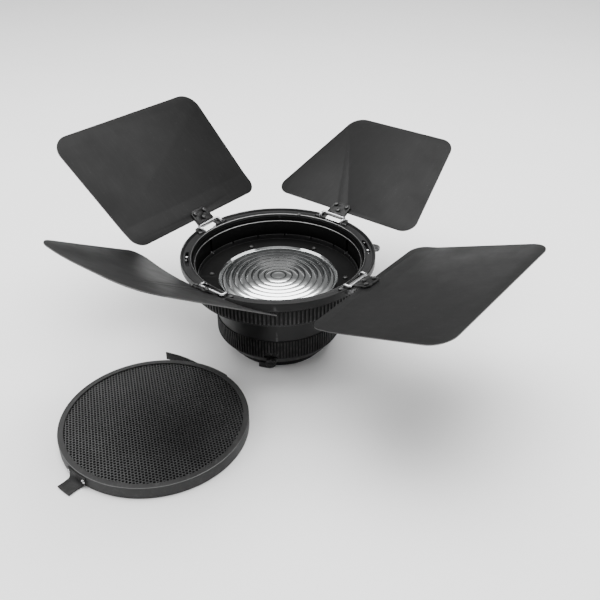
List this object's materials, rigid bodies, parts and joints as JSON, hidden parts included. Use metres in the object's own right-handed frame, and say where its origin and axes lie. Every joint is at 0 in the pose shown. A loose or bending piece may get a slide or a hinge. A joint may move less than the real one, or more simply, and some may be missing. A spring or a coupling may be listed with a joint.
{
  "type": "fresnel spotlight head",
  "caption": "Focusing Fresnel lens head with rear bayonet, zoom ring, rotating barn-door ring with hinged leaves, and a loose round honeycomb grid.",
  "frame": {"origin": "centre of the plane that the rear bayonet lugs stand on, on the optical axis", "axes": "+Z along the optical axis towards the front, +X to the right of a viewer who looks along +Y"},
  "size_m": [0.4181, 0.4056, 0.1831],
  "materials": {
    "black_metal": "satin black anodised",
    "black_sheet": "fine matt black powder coat",
    "bright_steel": "bright plated",
    "plain_steel": "plain",
    "black_screw": "black oxide",
    "lens_glass": "moulded clear glass",
    "black_honeycomb": "black foil",
    "black_leather": "smooth black"
  },
  "bodies": {
    "rear_body": {"bayonet_mount": "black_metal", "mount_screw_1": "black_screw", "mount_screw_2": "black_screw", "mount_screw_3": "black_screw", "base_cap": "black_metal", "rear_barrel": "black_metal", "rear_grip": "black_metal", "front_tube": "black_metal"},
    "knob": {"lock_knob": "black_metal"},
    "zoom": {"zoom_ring": "black_metal"},
    "lens_carrier": {"lens_plate": "black_metal", "fresnel_lens": "lens_glass", "lens_retainer": "black_metal", "lens_screw_1": "black_screw", "lens_screw_2": "black_screw", "lens_screw_3": "black_screw", "lens_screw_4": "black_screw", "lens_screw_5": "black_screw", "lens_screw_6": "black_screw", "follower_pin_1": "plain_steel", "follower_pin_2": "plain_steel", "follower_pin_3": "plain_steel"},
    "door_ring": {"barndoor_ring": "black_metal", "hinge_bar_back_left": "bright_steel", "hinge_bar_back_right": "bright_steel", "hinge_bar_front_right": "bright_steel", "hinge_bar_front_left": "bright_steel"},
    "door_lock": {"lock_ring": "black_metal", "lock_pin_1": "bright_steel", "lock_pin_2": "bright_steel"},
    "door_back_left": {"leaf_back_left": "black_sheet", "leaf_clamp_back_left": "black_metal", "clamp_screw_back_left_1": "black_screw", "clamp_screw_back_left_2": "black_screw", "clamp_screw_back_left_3": "black_screw"},
    "door_back_right": {"leaf_back_right": "black_sheet", "leaf_clamp_back_right": "black_metal", "clamp_screw_back_right_1": "black_screw", "clamp_screw_back_right_2": "black_screw", "clamp_screw_back_right_3": "black_screw"},
    "door_front_right": {"leaf_front_right": "black_sheet", "leaf_clamp_front_right": "black_metal", "clamp_screw_front_right_1": "black_screw", "clamp_screw_front_right_2": "black_screw", "clamp_screw_front_right_3": "black_screw"},
    "door_front_left": {"leaf_front_left": "black_sheet", "leaf_clamp_front_left": "black_metal", "clamp_screw_front_left_1": "black_screw", "clamp_screw_front_left_2": "black_screw", "clamp_screw_front_left_3": "black_screw"},
    "grid": {"grid_frame": "black_sheet", "grid_core": "black_honeycomb", "grid_tab_1": "black_leather", "grid_tab_2": "black_leather", "grid_rivet_1": "bright_steel", "grid_rivet_2": "bright_steel", "grid_rivet_3": "bright_steel", "grid_rivet_4": "bright_steel"}
  },
  "joints": [
    {"name": "lock_knob_turn", "type": "hinge", "parent": "rear_body", "child": "knob", "pos_m": [-0.00579, -0.0551, 0.014], "axis": [-0.1045, -0.9945, 0], "range_deg": [0, 360]},
    {"name": "zoom_turn", "type": "hinge", "parent": "rear_body", "child": "zoom", "pos_m": [0, 0, 0.0798], "axis": [0, 0, 1], "range_deg": [0, 70]},
    {"name": "lens_focus", "type": "slide", "parent": "rear_body", "child": "lens_carrier", "axis": [0, 0, 1], "range_m": [0, 0.013]},
    {"name": "door_ring_turn", "type": "hinge", "parent": "rear_body", "child": "door_ring", "pos_m": [0, 0, 0.0938], "axis": [0, 0, 1], "continuous": true},
    {"name": "door_lock_turn", "type": "hinge", "parent": "door_ring", "child": "door_lock", "pos_m": [0, 0, 0.0892], "axis": [0, 0, 1], "range_deg": [-4, 11]},
    {"name": "door_back_left_fold", "type": "hinge", "parent": "door_ring", "child": "door_back_left", "pos_m": [-0.06944, 0.05406, 0.0988], "axis": [0.6143, 0.7891, 0], "range_deg": [-50.8, 59.2]},
    {"name": "door_back_right_fold", "type": "hinge", "parent": "door_ring", "child": "door_back_right", "pos_m": [0.05406, 0.06944, 0.0988], "axis": [0.7891, -0.6143, 0], "range_deg": [-38.3, 104.7]},
    {"name": "door_front_right_fold", "type": "hinge", "parent": "door_ring", "child": "door_front_right", "pos_m": [0.06944, -0.05406, 0.0988], "axis": [-0.6143, -0.7891, 0], "range_deg": [-29.3, 80.7]},
    {"name": "door_front_left_fold", "type": "hinge", "parent": "door_ring", "child": "door_front_left", "pos_m": [-0.05406, -0.06944, 0.0988], "axis": [-0.7891, 0.6143, 0], "range_deg": [-48.6, 94.4]},
    {"name": "grid_lift", "type": "slide", "parent": "rear_body", "child": "grid", "axis": [0, 0, 1], "range_m": [0, 0.03]}
  ],
  "couplings": [
    {"joint": "lens_focus", "follows": "zoom_turn", "m_per_rad": 0.010641}
  ]
}
